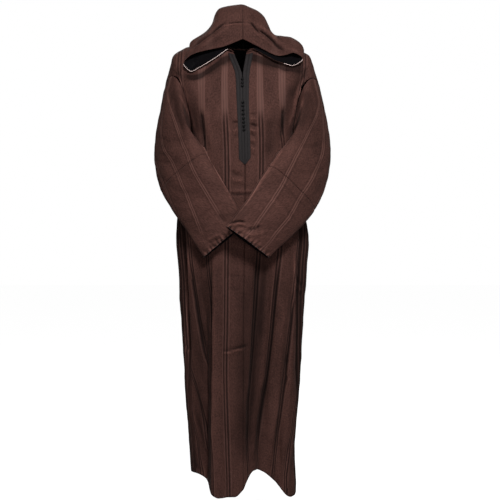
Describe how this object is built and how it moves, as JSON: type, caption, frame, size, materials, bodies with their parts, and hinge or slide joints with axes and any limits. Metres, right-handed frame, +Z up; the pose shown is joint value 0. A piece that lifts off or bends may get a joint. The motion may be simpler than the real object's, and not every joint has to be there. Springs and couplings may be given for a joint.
{
  "type": "hooded thobe (djellaba)",
  "caption": "Hooded ankle-length robe of striped cloth, hollow as worn, long sleeves crossed over the front, a braided neck slit closed by knotted buttons.",
  "frame": {"origin": "base of the neck, in the middle of the neck opening, between the shoulders that carry the robe", "axes": "+Z up along the wearer's height, -Y out of the wearer's chest, +X towards the wearer's left side"},
  "size_m": [0.5766, 0.4157, 1.5968],
  "materials": {
    "cloth": "dark brown woven cloth with thin glossy stripes in groups, slightly fuzzy",
    "braid": "dark bluish grey plaited braid, matt",
    "knot": "near-black knotted silk cord, low sheen"
  },
  "bodies": {
    "root": {"back": "cloth", "front_right": "cloth", "front_left": "cloth", "side_right": "cloth", "side_left": "cloth", "sleeve_upper_right": "cloth", "sleeve_upper_left": "cloth", "sleeve_lower_right": "cloth", "sleeve_lower_left": "cloth", "hood_right": "cloth", "hood_left": "cloth", "braid_right": "braid", "braid_left": "braid", "knot_01": "knot", "knot_02": "knot", "knot_03": "knot", "knot_04": "knot", "knot_05": "knot", "knot_06": "knot", "knot_07": "knot", "knot_08": "knot", "knot_09": "knot", "knot_10": "knot", "knot_11": "knot"}
  },
  "joints": []
}
